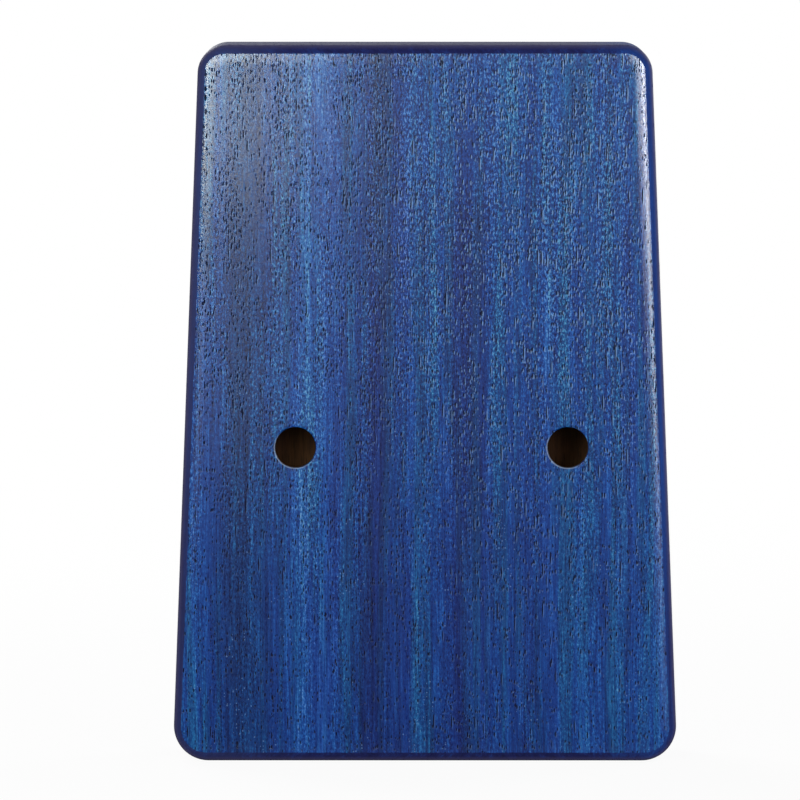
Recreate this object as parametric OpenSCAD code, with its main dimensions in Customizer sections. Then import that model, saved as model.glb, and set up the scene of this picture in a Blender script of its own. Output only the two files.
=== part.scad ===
// Box kalimba: a hollow wooden resonator whose steel tines are clamped on a bridge near its head.
// The pieces are drawn with the box lying on its back, tines up: x runs across, y runs from the
// tail (the wide end) to the head, and z runs from the back to the front. stand_up() then sets the
// box on its tail, with its back towards -Y.

/* [Body] */
// Length of the box, tail to head
body_length = 185; // [165:1:220]
// Width across the tail, the wide end
tail_width = 130.5; // [124:0.5:150]
// Width across the head, the narrow end
head_width = 116.5; // [114:0.5:130]
// Depth of the box, back to front
body_depth = 34; // [30:1:45]
// Radius of the outline's two corners at the tail
tail_corner_radius = 9; // [6:0.5:14]
// Radius of the outline's two corners at the head
head_corner_radius = 7.5; // [6:0.5:14]
// Radius of the rounded edge round both panels
edge_radius = 2.3; // [1:0.1:3]
// Thickness of the back panel
back_thickness = 3.5; // [3.2:0.1:5]
// Thickness of the soundboard
soundboard_thickness = 4; // [3.2:0.1:6]
// Thickness of the two side rails
side_rail_thickness = 9; // [6:0.5:12]
// Straight land that each end rail keeps past its rounded corners
corner_land = 1.5; // [0.5:0.5:4]

/* [Holes] */
// Diameter of the sound hole in the soundboard
sound_hole_diameter = 32; // [24:1:40]
// Height of the sound hole's centre above the tail
sound_hole_height = 50; // [42:1:56]
// Chamfer round the sound hole
sound_hole_chamfer = 0.8; // [0.2:0.1:1.5]
// Diameter of the two finger holes in the back
finger_hole_diameter = 10.5; // [8:0.1:14]
// Distance between the centres of the finger holes
finger_hole_spacing = 70.2; // [50:0.1:80]
// Height of the finger holes above the tail
finger_hole_height = 81.3; // [60:0.1:100]
// How far the pair of finger holes sits off the middle
finger_hole_offset = 1.7; // [0:0.1:4]
// Chamfer round each finger hole
finger_hole_chamfer = 0.4; // [0.1:0.1:1]

/* [Bridge] */
// Distance from the head to the pressure bar
bridge_from_head = 40; // [34:1:50]
// Length of the bridge along the body
bridge_length = 28; // [26:1:36]
// Wood past the outer tines at each end of the bridge
bridge_end_margin = 2.6; // [1.5:0.1:4]
// Height of the bridge's front and rear edges
bridge_edge_height = 3.5; // [2:0.5:5]
// Height of the saddle rods' tops above the soundboard
saddle_height = 9; // [8:0.5:12]
// Distance from the pressure bar to each saddle rod
saddle_spacing = 7; // [6.5:0.25:9]
// Diameter of the two saddle rods
saddle_rod_diameter = 4; // [3:0.25:4.5]
// Wood on each side of a saddle rod's groove
groove_wall = 1.25; // [0.75:0.25:2]
// Depth of the valley between the two ridges
valley_depth = 2.5; // [1:0.25:3]
// Diameter of the pressure bar
pressure_bar_diameter = 5; // [4:0.25:6]
// How much shorter each rod is than the bridge, at each end
rod_inset = 1; // [0.5:0.25:2]
// Gap round a saddle rod in its groove
groove_clearance = 0.05; // [0.02:0.01:0.1]
// Length of the block inside the box, along the body
block_length = 30; // [20:1:40]
// Height of the block inside the box
block_height = 12; // [11:0.5:18]

/* [Tines] */
// Number of tines
tine_count = 17; // [9:2:17]
// Pitch of the lowest tine, in hertz
lowest_pitch = 261.63; // [240:0.01:294]
// Thickness of a tine
tine_thickness = 1; // [0.8:0.05:1.2]
// Width of a tine
tine_width = 4; // [3.5:0.1:4.1]
// Distance between the middles of neighbouring tines
tine_pitch = 6.3; // [6.2:0.05:6.5]
// Slope of the tines past the saddles, in degrees
tine_rise = 4; // [2:0.5:6]
// Length of a tine behind the rear saddle
tine_tail = 11; // [8:1:16]
// Length of the part of a tine that turns up at its tip
tip_length = 6; // [3:0.5:10]
// Angle that the tip turns up by, in degrees
tip_curl = 10; // [4:1:20]
// Radius of the corners at a tine's tip
tip_corner = 1.5; // [0.5:0.1:1.7]
// Gap between a tine and each rod that holds it
tine_clearance = 0.36; // [0.3:0.02:0.5]

/* [Screws] */
// Diameter of the screws that pull the pressure bar down
screw_diameter = 2; // [1.6:0.1:2.1]
// Diameter of a screw's head
screw_head_diameter = 4; // [3:0.1:5]
// Height of a screw's head
screw_head_height = 1.5; // [1:0.1:2.5]
// Length of a screw in the block inside the box
screw_bite = 8; // [5:0.5:10]
// Length of a screw's point
screw_point = 2; // [1:0.25:3]
// Depth of the flat that a screw's head seats on, in the top of the bar
screw_seat_depth = 0.6; // [0.4:0.1:1]
// Gap round a screw in every hole that it passes
screw_clearance = 0.08; // [0.05:0.01:0.15]
// Width of the cross recess in a screw's head
recess_width = 0.7; // [0.4:0.1:1]
// Depth of the cross recess in a screw's head
recess_depth = 0.8; // [0.4:0.1:1]

/* [Hidden] */
$fn = 64;
arc_steps = 6;
// How far a cutting shape runs past what it cuts
past = 1;

// Box
// Lean of the sides, with its cosine rounded so that turned pieces stay level with the others; this
// moves the head's edges by a few thousandths of a millimetre
side_lean = acos(round(cos(atan((tail_width - head_width) / 2 / body_length)) * 1e6) / 1e6);
head_half = tail_width / 2 - body_length * tan(side_lean);
tail_rail_thickness = tail_corner_radius + corner_land;
head_rail_thickness = head_corner_radius + corner_land;
rail_height = body_depth - back_thickness - soundboard_thickness;
soundboard_inside = body_depth - soundboard_thickness;
// Centres of the rounded corners on the right, and the length of the straight edge between them
tail_corner = [tail_width / 2 - tail_corner_radius / tan((90 - side_lean) / 2), tail_corner_radius];
head_corner = [head_half - head_corner_radius / tan((90 + side_lean) / 2), body_length - head_corner_radius];
corner_step = tail_corner_radius - head_corner_radius;
side_edge = sqrt(pow(norm(head_corner - tail_corner), 2) - pow(corner_step, 2));
wider_corner = max(tail_corner_radius, head_corner_radius);

// Bridge: the bar is in the middle, with a saddle rod on each side of it
bar_y = body_length - bridge_from_head;
front_saddle_y = bar_y - saddle_spacing;
rear_saddle_y = bar_y + saddle_spacing;
rod_z = body_depth + saddle_height - saddle_rod_diameter / 2;
ridge_half = saddle_rod_diameter / 2 + groove_wall;
bridge_width = (tine_count - 1) * tine_pitch + tine_width + 2 * bridge_end_margin;
rod_length = bridge_width - 2 * rod_inset;

// Tines: a shallow arc under the bar, tangent to a straight leg over each saddle
tine_from_rod = saddle_rod_diameter / 2 + tine_clearance + tine_thickness / 2;
clamp_radius = saddle_spacing / sin(tine_rise) - tine_from_rod;
clamp_centre_z = rod_z + (clamp_radius + tine_from_rod) * cos(tine_rise);
tip_radius = tip_length * 180 / (PI * tip_curl);
bar_z = clamp_centre_z - clamp_radius + tine_thickness / 2 + tine_clearance + pressure_bar_diameter / 2;

// A tine is a cantilever: its pitch is this factor times wave speed times thickness over length squared
cantilever_factor = 0.16154;
steel_wave_speed = 5.048e6;
scale_steps = [0, 2, 4, 5, 7, 9, 11];
scale_names = ["c", "d", "e", "f", "g", "a", "b"];
lowest_octave = 4;

// Screws: two pairs, each in a gap between two tines, counted in tine pitches from the middle
inner_screw = floor(tine_count / 6) + 0.5;
outer_screw = (tine_count - 1) / 2 - 1.5;
screw_places = [for (gap = [-outer_screw, -inner_screw, inner_screw, outer_screw]) gap * tine_pitch];
screw_seat_z = bar_z + pressure_bar_diameter / 2 - screw_seat_depth;
screw_tip_z = soundboard_inside - screw_bite;
screw_hole_diameter = screw_diameter + 2 * screw_clearance;

function half_width(y) = tail_width / 2 - y * tan(side_lean);
function half_inside(y) = half_width(y) - side_rail_thickness / cos(side_lean);

// Tine 0 is in the middle, and the scale then steps out to the left and the right in turn
function tine_column(n) = n % 2 == 0 ? n / 2 : -(n + 1) / 2;
function tine_semitones(n) = 12 * floor(n / 7) + scale_steps[n % 7];
function tine_frequency(n) = lowest_pitch * pow(2, tine_semitones(n) / 12);
function speaking_length(n) = sqrt(cantilever_factor * steel_wave_speed * tine_thickness / tine_frequency(n));
function tine_name(n) = str("tine_", scale_names[n % 7], lowest_octave + floor(n / 7));

// A point of a circle's lower side, where a path towards the tail climbs at this slope
function arc_point(centre, radius, slope) = centre - radius * [sin(slope), cos(slope)];
// A point that is a distance along a leg of this slope, towards the tail
function along(point, slope, distance) = point + distance * [-cos(slope), sin(slope)];
function front_contact() = arc_point([bar_y, clamp_centre_z], clamp_radius, tine_rise);
function rear_contact() = arc_point([bar_y, clamp_centre_z], clamp_radius, -tine_rise);
function leg_end(n) = along(front_contact(), tine_rise, speaking_length(n) - tip_length);
function tip_centre(n) = leg_end(n) + tip_radius * [sin(tine_rise), cos(tine_rise)];
function tip_point(n) = arc_point(tip_centre(n), tip_radius, tine_rise + tip_curl);

// The middle line of a tine as [point, slope], from behind its tail end to just past its tip
function tine_path(n) = concat(
  [[along(rear_contact(), -tine_rise, -tine_tail), -tine_rise]],
  [for (i = [0 : arc_steps])
    let (slope = tine_rise * (2 * i / arc_steps - 1))
    [arc_point([bar_y, clamp_centre_z], clamp_radius, slope), slope]],
  [for (i = [0 : arc_steps])
    let (slope = tine_rise + tip_curl * i / arc_steps)
    [arc_point(tip_centre(n), tip_radius, slope), slope]],
  [[along(tip_point(n), tine_rise + tip_curl, past), tine_rise + tip_curl]]
);
function beside(path, distance) = [for (p = path) p[0] + distance * [sin(p[1]), cos(p[1])]];
function reversed(list) = [for (i = [len(list) - 1 : -1 : 0]) list[i]];

// Sets the box on its tail, back towards -Y, with the origin under the middle of the tail
module stand_up() {
  translate([0, -body_depth / 2, 0])
    rotate([90, 0, 180])
      children();
}

// Extrudes a side view, drawn as (y, z), across the body
module across(width) {
  translate([-width / 2, 0, 0])
    rotate([90, 0, 90])
      linear_extrude(width)
        children();
}

module cross_rod(y, z, diameter, length) {
  translate([-length / 2, y, z])
    rotate([0, 90, 0])
      cylinder(h = length, d = diameter);
}

module quarter_disc(radius) {
  intersection() {
    circle(radius);
    square(radius + past);
  }
}

// Extrudes a side view, drawn as (x, z), along +y
module along_edge(length) {
  translate([0, length, 0])
    rotate([90, 0, 0])
      linear_extrude(length)
        children();
}

// Everything on the +y side of the origin that a corner could reach
module beyond() {
  reach = 2 * wider_corner;
  translate([-reach, 0, -body_depth])
    cube([2 * reach, reach, 2 * body_depth]);
}

// Turns a side view round a corner, from the +x direction to the given angle, then runs it straight on
module turn_and_run(angle, length) {
  intersection() {
    rotate(180)
      rotate_extrude()
        children();
    beyond();
    rotate(angle)
      mirror([0, 1, 0])
        beyond();
  }
  rotate(angle)
    along_edge(length)
      children();
}

// The right half of the outline: children are a side view whose outer edge is at x = $reach
module half_outline(thickness) {
  intersection() {
    union() {
      translate(tail_corner)
        rotate(side_lean) {
          translate([tail_corner_radius - wider_corner, 0, 0])
            along_edge(side_edge, $reach = wider_corner)
              children();
          translate([corner_step, side_edge, 0])
            turn_and_run(90 - side_lean, head_corner[0] + past, $reach = head_corner_radius)
              children();
          mirror([0, 1, 0])
            turn_and_run(90 + side_lean, tail_corner[0] + past, $reach = tail_corner_radius)
              children();
        }
      linear_extrude(thickness)
        polygon([
          [-past, tail_corner_radius / 2],
          [tail_corner[0], tail_corner_radius / 2],
          tail_corner + [tail_corner_radius / 2, 0],
          head_corner + [head_corner_radius / 2, 0],
          [head_corner[0], body_length - head_corner_radius / 2],
          [-past, body_length - head_corner_radius / 2],
        ]);
    }
    translate([0, -past, -past])
      cube([tail_width, body_length + 2 * past, thickness + 2 * past]);
  }
}

// Carries a side view all the way round the outline and fills the middle
module round_outline(thickness) {
  half_outline(thickness)
    children();
  mirror([1, 0, 0])
    half_outline(thickness)
      children();
}

module rounded_edge(thickness) {
  flat = $reach - edge_radius;
  shoulder = thickness - edge_radius;
  polygon([[0, 0], [$reach, 0], [$reach, shoulder], [flat, shoulder], [flat, thickness], [0, thickness]]);
  translate([flat, shoulder])
    quarter_disc(edge_radius);
}

// A panel whose rounded face is up, standing on z = 0
module panel(thickness) {
  round_outline(thickness)
    rounded_edge(thickness);
}

// A hole down through a panel whose outer face is at z = 0, with a chamfer at that face
module chamfered_hole(diameter, chamfer, thickness) {
  translate([0, 0, -thickness - past])
    cylinder(h = thickness + 2 * past, d = diameter);
  translate([0, 0, -chamfer])
    cylinder(h = chamfer + past, d1 = diameter, d2 = diameter + 2 * (chamfer + past));
}

module screw_holes(from_z, to_z) {
  for (x = screw_places)
    translate([x, bar_y, from_z])
      cylinder(h = to_z - from_z, d = screw_hole_diameter);
}

module back_panel() {
  color("royalblue")
    difference() {
      translate([0, 0, back_thickness])
        mirror([0, 0, 1])
          panel(back_thickness);
      for (side = [-1, 1])
        translate([side * finger_hole_spacing / 2 - finger_hole_offset, finger_hole_height, 0])
          mirror([0, 0, 1])
            chamfered_hole(finger_hole_diameter, finger_hole_chamfer, back_thickness);
    }
}

module soundboard() {
  color("royalblue")
    difference() {
      translate([0, 0, soundboard_inside])
        panel(soundboard_thickness);
      translate([0, sound_hole_height, body_depth])
        chamfered_hole(sound_hole_diameter, sound_hole_chamfer, soundboard_thickness);
      screw_holes(soundboard_inside - past, body_depth + past);
    }
}

// One end of the rim, with the two rounded corners at that end
module end_rail(from_y, thickness) {
  color("midnightblue")
    translate([0, 0, back_thickness])
      intersection() {
        round_outline(rail_height)
          square([$reach, rail_height]);
        translate([-tail_width, from_y, -past])
          cube([2 * tail_width, thickness + past, rail_height + 2 * past]);
      }
}

module tail_rail() {
  end_rail(-past, tail_rail_thickness);
}

module head_rail() {
  end_rail(body_length - head_rail_thickness, head_rail_thickness);
}

// One side of the rim, glued between the end rails
module side_rail(side) {
  from_y = tail_rail_thickness;
  to_y = body_length - head_rail_thickness;
  color("midnightblue")
    translate([0, 0, back_thickness])
      linear_extrude(rail_height)
        polygon([
          [side * half_inside(from_y), from_y],
          [side * half_width(from_y), from_y],
          [side * half_width(to_y), to_y],
          [side * half_inside(to_y), to_y],
        ]);
}

// Glued under the soundboard between the side rails, where the bar's screws bite
module bridge_block() {
  from_y = bar_y - block_length / 2;
  to_y = bar_y + block_length / 2;
  color("peru")
    difference() {
      translate([0, 0, soundboard_inside - block_height])
        linear_extrude(block_height)
          polygon([
            [-half_inside(from_y), from_y],
            [half_inside(from_y), from_y],
            [half_inside(to_y), to_y],
            [-half_inside(to_y), to_y],
          ]);
      screw_holes(screw_tip_z - screw_clearance, soundboard_inside + past);
    }
}

// Two grooved ridges with a valley between them, sloping down to low front and rear edges
module bridge_side_view() {
  valley_half = saddle_spacing - ridge_half;
  ridge_end = saddle_spacing + ridge_half;
  ridge_top = rod_z - body_depth;
  right_half = [
    [bridge_length / 2, 0],
    [bridge_length / 2, bridge_edge_height],
    [ridge_end, ridge_top],
    [valley_half, ridge_top],
    [valley_half, ridge_top - valley_depth],
  ];
  left_half = [for (p = reversed(right_half)) [-p[0], p[1]]];
  translate([bar_y, body_depth])
    polygon(concat(right_half, left_half));
}

module bridge() {
  color("saddlebrown")
    difference() {
      across(bridge_width)
        bridge_side_view();
      for (y = [front_saddle_y, rear_saddle_y])
        cross_rod(y, rod_z, saddle_rod_diameter + 2 * groove_clearance, bridge_width + 2 * past);
      screw_holes(body_depth - past, rod_z + past);
    }
}

module front_saddle_rod() {
  color("silver")
    cross_rod(front_saddle_y, rod_z, saddle_rod_diameter, rod_length);
}

module rear_saddle_rod() {
  color("silver")
    cross_rod(rear_saddle_y, rod_z, saddle_rod_diameter, rod_length);
}

module pressure_bar() {
  seat_diameter = screw_head_diameter + 4 * screw_clearance;
  color("silver")
    difference() {
      cross_rod(bar_y, bar_z, pressure_bar_diameter, rod_length);
      screw_holes(bar_z - pressure_bar_diameter, bar_z + pressure_bar_diameter);
      for (x = screw_places)
        translate([x, bar_y, screw_seat_z])
          cylinder(h = pressure_bar_diameter, d = seat_diameter);
    }
}

// A pan-headed wood screw with its seat at z = 0
module bar_screw() {
  shank = screw_seat_z - screw_tip_z - screw_point;
  bevel = screw_head_height / 3;
  difference() {
    union() {
      cylinder(h = screw_head_height - bevel, d = screw_head_diameter);
      translate([0, 0, screw_head_height - bevel])
        cylinder(h = bevel, d1 = screw_head_diameter, d2 = screw_head_diameter - 2 * bevel);
    }
    for (turn = [0, 90])
      rotate(turn)
        translate([-screw_head_diameter * 0.3, -recess_width / 2, screw_head_height - recess_depth])
          cube([screw_head_diameter * 0.6, recess_width, recess_depth + past]);
  }
  translate([0, 0, -shank])
    cylinder(h = shank, d = screw_diameter);
  translate([0, 0, -shank - screw_point])
    cylinder(h = screw_point, d1 = 0, d2 = screw_diameter);
}

module bar_screws() {
  color("gainsboro")
    for (x = screw_places)
      translate([x, bar_y, screw_seat_z])
        bar_screw();
}

// A tine seen from above, with its tip at y = 0: a strip with rounded corners at the tip
module tine_plan(length) {
  half = tine_width / 2;
  flat = half - tip_corner;
  polygon([
    [-half, length],
    [-half, tip_corner],
    [-flat, tip_corner],
    [-flat, 0],
    [flat, 0],
    [flat, tip_corner],
    [half, tip_corner],
    [half, length],
  ]);
  for (side = [0, 1])
    mirror([side, 0])
      translate([flat, tip_corner])
        mirror([0, 1])
          quarter_disc(tip_corner);
}

module tine(n) {
  path = tine_path(n);
  color("lightsteelblue")
    translate([tine_column(n) * tine_pitch, 0, 0])
      intersection() {
        across(tine_width + 2 * past)
          polygon(concat(beside(path, tine_thickness / 2), reversed(beside(path, -tine_thickness / 2))));
        translate([0, tip_point(n)[0], body_depth])
          linear_extrude(body_depth)
            tine_plan(body_length);
      }
}

stand_up() back_panel();
stand_up() soundboard();
stand_up() side_rail(-1);  // left_side_rail
stand_up() side_rail(1);  // right_side_rail
stand_up() head_rail();
stand_up() tail_rail();
stand_up() bridge_block();
stand_up() bridge();
stand_up() front_saddle_rod();
stand_up() rear_saddle_rod();
stand_up() pressure_bar();
stand_up() bar_screws();
for (n = [0 : tine_count - 1])
  stand_up() tine(n);
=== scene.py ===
# %% [markdown]
# # A blue box kalimba
# This lesson dresses a finished CAD model. The frame brings every solid in its place, in metres,
# standing on its tail with its back towards -Y, and the lesson then draws finer surfaces over the
# solids: rounded wood, steel tines and the four small screws. A piece that stands for a solid
# keeps its place; all but the tines are attached to the body of the box.

# %% Load the frame
import math
from types import SimpleNamespace

import bmesh
import bpy
import numpy as np
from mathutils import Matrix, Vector
from mathutils.geometry import delaunay_2d_cdt


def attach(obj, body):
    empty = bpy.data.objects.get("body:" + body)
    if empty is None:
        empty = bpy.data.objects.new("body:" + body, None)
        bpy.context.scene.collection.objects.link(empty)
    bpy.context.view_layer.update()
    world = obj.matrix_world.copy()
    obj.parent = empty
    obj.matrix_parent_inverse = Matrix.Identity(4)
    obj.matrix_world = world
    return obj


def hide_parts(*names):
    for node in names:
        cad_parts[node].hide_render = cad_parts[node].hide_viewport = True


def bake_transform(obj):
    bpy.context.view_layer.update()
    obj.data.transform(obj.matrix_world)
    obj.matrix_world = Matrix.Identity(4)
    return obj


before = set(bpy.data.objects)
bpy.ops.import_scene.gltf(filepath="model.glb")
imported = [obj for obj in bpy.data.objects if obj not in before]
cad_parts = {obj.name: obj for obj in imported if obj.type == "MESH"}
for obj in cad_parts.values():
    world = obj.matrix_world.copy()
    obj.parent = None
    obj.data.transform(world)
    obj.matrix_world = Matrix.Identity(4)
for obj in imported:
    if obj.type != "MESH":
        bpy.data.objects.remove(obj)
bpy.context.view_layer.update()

# %% [markdown]
# ## The drawing frame
# A maker draws the box lying on its back: x runs across, y from the tail to the head, and z from
# the back to the front, in millimetres. `stand_up` turns such a drawing into the standing frame.
# The sizes repeat those of the CAD model, because the two have to agree.

# %% Sizes of the box
MM = 0.001
BODY_LENGTH, TAIL_WIDTH, HEAD_WIDTH, BODY_DEPTH = 185.0, 130.5, 116.5, 34.0
TAIL_CORNER, HEAD_CORNER, EDGE_RADIUS = 9.0, 7.5, 2.3
BACK_THICKNESS, BOARD_THICKNESS = 3.5, 4.0
SIDE_LEAN = math.atan((TAIL_WIDTH - HEAD_WIDTH) / 2 / BODY_LENGTH)


def stand_up(x, y, z):
    """Standing place of a drawn point: (-x, z - half the depth, y), in metres."""
    return np.stack(np.broadcast_arrays(-x, z - BODY_DEPTH / 2, y), axis=-1) * MM


def half_width(y):
    """Half the width of the box at a height y above the tail: the sides lean in on a straight line."""
    return TAIL_WIDTH / 2 - y * math.tan(SIDE_LEAN)


print("lean of the sides", round(math.degrees(SIDE_LEAN), 3), "degrees")

# %% [markdown]
# ## From arrays to a mesh
# Most surfaces here are a grid of points: one index runs along a profile and the other runs round
# it, along the unit vectors that `direction` gives. `grid_faces` writes the quads of such a grid, and
# `make_piece` puts points and faces into a mesh, closes its seams, turns its faces outwards and keeps
# edges crisp past a given angle.

# %% Mesh helpers
def direction(angle):
    """Unit vectors (cos, sin) at the given angles."""
    return np.stack([np.cos(angle), np.sin(angle)], axis=-1)


def grid_faces(rows, cols, first=0):
    """Quads of a rows x cols grid whose columns close round, as rows of four indices."""
    r, c = np.meshgrid(np.arange(rows - 1), np.arange(cols), indexing="ij")
    n = (c + 1) % cols
    quads = np.stack([r * cols + c, r * cols + n, (r + 1) * cols + n, (r + 1) * cols + c], axis=-1)
    return (quads.reshape(-1, 4) + first).tolist()


def capped_faces(rows, cols):
    """The quads of a grid, one face over its first row and one over its last."""
    return grid_faces(rows, cols) + [list(range(cols)), list(range((rows - 1) * cols, rows * cols))]


def make_piece(name, points, faces, material, crisp=32.0, extra=None, face_material=None):
    """A mesh object at the origin from an (n, 3) array in metres and lists of point indices."""
    mesh = bpy.data.meshes.new(name)
    mesh.from_pydata(np.asarray(points, float).reshape(-1, 3).tolist(), [], faces)
    for key, values in (extra or {}).items():
        layer = mesh.attributes.new(key, "FLOAT", "POINT")
        layer.data.foreach_set("value", np.asarray(values, np.float32).ravel())
    for made in material if isinstance(material, (list, tuple)) else [material]:
        mesh.materials.append(made)
    if face_material is not None:
        mesh.polygons.foreach_set("material_index", np.asarray(face_material, np.int32))
    work = bmesh.new()
    work.from_mesh(mesh)
    bmesh.ops.remove_doubles(work, verts=work.verts, dist=1e-7)
    bmesh.ops.recalc_face_normals(work, faces=work.faces)
    open_edges = sum(1 for e in work.edges if not e.is_manifold)
    work.to_mesh(mesh)
    work.free()
    mesh.shade_smooth()
    mesh.set_sharp_from_angle(angle=math.radians(crisp))
    piece = bpy.data.objects.new(name, mesh)
    bpy.context.scene.collection.objects.link(piece)
    print(name, "faces", len(mesh.polygons), "open edges", open_edges)
    return piece


# %% [markdown]
# ## A small language for materials
# A shader is a graph of nodes. `Graph` adds nodes and links in one line each, so that a finish can
# be written down as a formula. Patterns read Object coordinates in millimetres. Every piece sits at
# the origin, so grain runs through neighbouring pieces as it would through one board.

# %% Node helper
class Graph:
    """Adds nodes to the tree of a material or world. A value is a number, a colour or a node's output."""

    def __init__(self, owner):
        self.owner = owner
        owner.use_nodes = True
        self.tree = owner.node_tree

    def put(self, socket, value):
        """Link an output to a socket, or set the socket to a number or colour."""
        if isinstance(value, bpy.types.NodeSocket):
            self.tree.links.new(value, socket)
        else:
            socket.default_value = value

    def add(self, kind, inputs, out=0, **settings):
        """One of the outputs of a new node with these inputs and settings."""
        made = self.tree.nodes.new("ShaderNode" + kind)
        for key, value in settings.items():
            setattr(made, key, value)
        for key, value in inputs.items():
            self.put(made.inputs[key], value)
        return made.outputs[out]

    def math(self, operation, a, b=0.0, clamp=False):
        return self.add("Math", {0: a, 1: b}, operation=operation, use_clamp=clamp)

    def times(self, a, b):
        return self.math("MULTIPLY", a, b)

    def plus(self, a, b):
        return self.math("ADD", a, b)

    def minus(self, a, b):
        return self.math("SUBTRACT", a, b)

    def most(self, first, *others):
        """The largest of some values."""
        for other in others:
            first = self.math("MAXIMUM", first, other)
        return first

    def total(self, start, *terms):
        """start plus weight * (value - 0.5) for each (weight, value)."""
        for weight, value in terms:
            start = self.add("Math", {0: value, 1: weight, 2: start}, operation="MULTIPLY_ADD")
            start = self.math("SUBTRACT", start, weight / 2)
        return start

    def step(self, value, low, high, to_low=0.0, to_high=1.0):
        """Smooth step from to_low at low to to_high at high."""
        inputs = {"Value": value, "From Min": low, "From Max": high, "To Min": to_low, "To Max": to_high}
        return self.add("MapRange", inputs, interpolation_type="SMOOTHSTEP")

    def mix(self, share, a, b, blend="MIX"):
        """(1 - share) a + share b, or a with another blend of b."""
        made = self.tree.nodes.new("ShaderNodeMix")
        made.data_type, made.blend_type = "RGBA", blend
        for index, value in ((0, share), (6, a), (7, b)):
            self.put(made.inputs[index], value)
        return made.outputs[2]

    def ramp(self, value, stops, interpolation="LINEAR"):
        """Colour of a value between stops given as (place, colour)."""
        made = self.tree.nodes.new("ShaderNodeValToRGB")
        made.color_ramp.interpolation = interpolation
        while len(made.color_ramp.elements) < len(stops):
            made.color_ramp.elements.new(1.0)
        for element, (place, colour) in zip(made.color_ramp.elements, stops):
            element.position = place
            element.color = colour if len(colour) == 4 else (*colour, 1.0)
        self.put(made.inputs[0], value)
        return made.outputs[0]

    def place(self, x, y, z):
        return self.add("CombineXYZ", {0: x, 1: y, 2: z})

    def scaled(self, vector, factors, shift=(0.0, 0.0, 0.0)):
        """vector * factors + shift."""
        return self.add("VectorMath", {0: vector, 1: factors, 2: shift}, operation="MULTIPLY_ADD")

    def noise(self, vector, detail=2.0, roughness=0.5):
        inputs = {"Vector": vector, "Scale": 1.0, "Detail": detail, "Roughness": roughness}
        return self.add("TexNoise", inputs)

    def cells(self, vector, dimensions="3D"):
        """Distance to the nearest of scattered points, and two random numbers that belong to it."""
        near = self.add("TexVoronoi", {"Vector": vector, "Scale": 1.0}, voronoi_dimensions=dimensions)
        chance = self.add("SeparateColor", {0: near.node.outputs["Color"]}).node
        return near, chance.outputs[0], chance.outputs[1]

    def millimetres(self):
        """Object coordinates in millimetres, as a vector and as x, y and z."""
        coordinates = self.add("TexCoord", {}, out=3)
        vector = self.scaled(coordinates, (1000.0,) * 3)
        split = self.add("SeparateXYZ", {0: vector})
        return vector, *[split.node.outputs[i] for i in range(3)]

    def attribute(self, name):
        return self.add("Attribute", {}, out=2, attribute_name=name)

    def bump(self, height, depth, strength=1.0):
        return self.add("Bump", {"Height": height, "Distance": depth, "Strength": strength})

    def finish(self, **sockets):
        """The material, with sockets of its shader set; an underscore stands for a space."""
        shader = self.tree.nodes["Principled BSDF"]
        for name, value in sockets.items():
            self.put(shader.inputs[name.replace("_", " ")], value)
        return self.owner


# %% [markdown]
# ## Dyed mahogany
# The photograph shows ribbon-striped mahogany under a blue dye: dark and light ribbons along the
# grain, short open pores with a painted highlight on one lip of each, and drifts of teal and violet
# where the wood took the dye unevenly. Noise that is stretched along the grain gives all of this, and
# needs no picture. The patterns are read along u, which runs across the grain and wanders a little,
# so that no ribbon is ruled.

# %% Patterns in the wood
BOARD_WIDTH = 130.0


def wood_patterns(g, along_x, leaf_rate):
    """Places in the wood, and noise on them. A rate of (a, a, b) stretches it a / b times along the grain."""
    w = SimpleNamespace()
    _, w.x, y, w.z = g.millimetres()
    across, w.along = (w.z, w.x) if along_x else (w.x, w.z)
    wander = g.noise(g.place(g.times(across, 0.015), y, g.times(w.along, 0.011)), 1.0)
    leaf = g.times(g.plus(y, BODY_DEPTH / 2), leaf_rate)
    w.u = g.plus(g.plus(across, leaf), g.total(0.0, (3.0, wander)))
    w.grain = g.place(w.u, y, w.along)
    grey = lambda value: (value, value, value)
    w.ribbons = g.ramp(g.plus(g.times(w.u, 1 / BOARD_WIDTH), 0.5), [
        (0.00, grey(0.62)), (0.08, grey(0.50)), (0.14, grey(0.20)), (0.21, grey(0.50)), (0.27, grey(0.74)),
        (0.35, grey(0.52)), (0.405, grey(0.14)), (0.47, grey(0.58)), (0.53, grey(0.50)), (0.573, grey(0.10)),
        (0.63, grey(0.62)), (0.71, grey(0.40)), (0.79, grey(0.78)), (0.87, grey(0.42)), (1.00, grey(0.72)),
    ], "B_SPLINE")
    w.bands = g.noise(g.scaled(w.grain, (0.32, 0.32, 0.006)), 3.0, 0.6)
    w.streaks = g.noise(g.scaled(w.grain, (1.5, 1.5, 0.035)), 2.0, 0.6)
    w.hairs = g.noise(g.scaled(w.grain, (3.2, 3.2, 0.12)), 1.0, 0.6)
    w.fibre = g.noise(g.scaled(w.grain, (2.3, 2.3, 1.0)), 2.0, 0.7)
    return w
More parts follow.
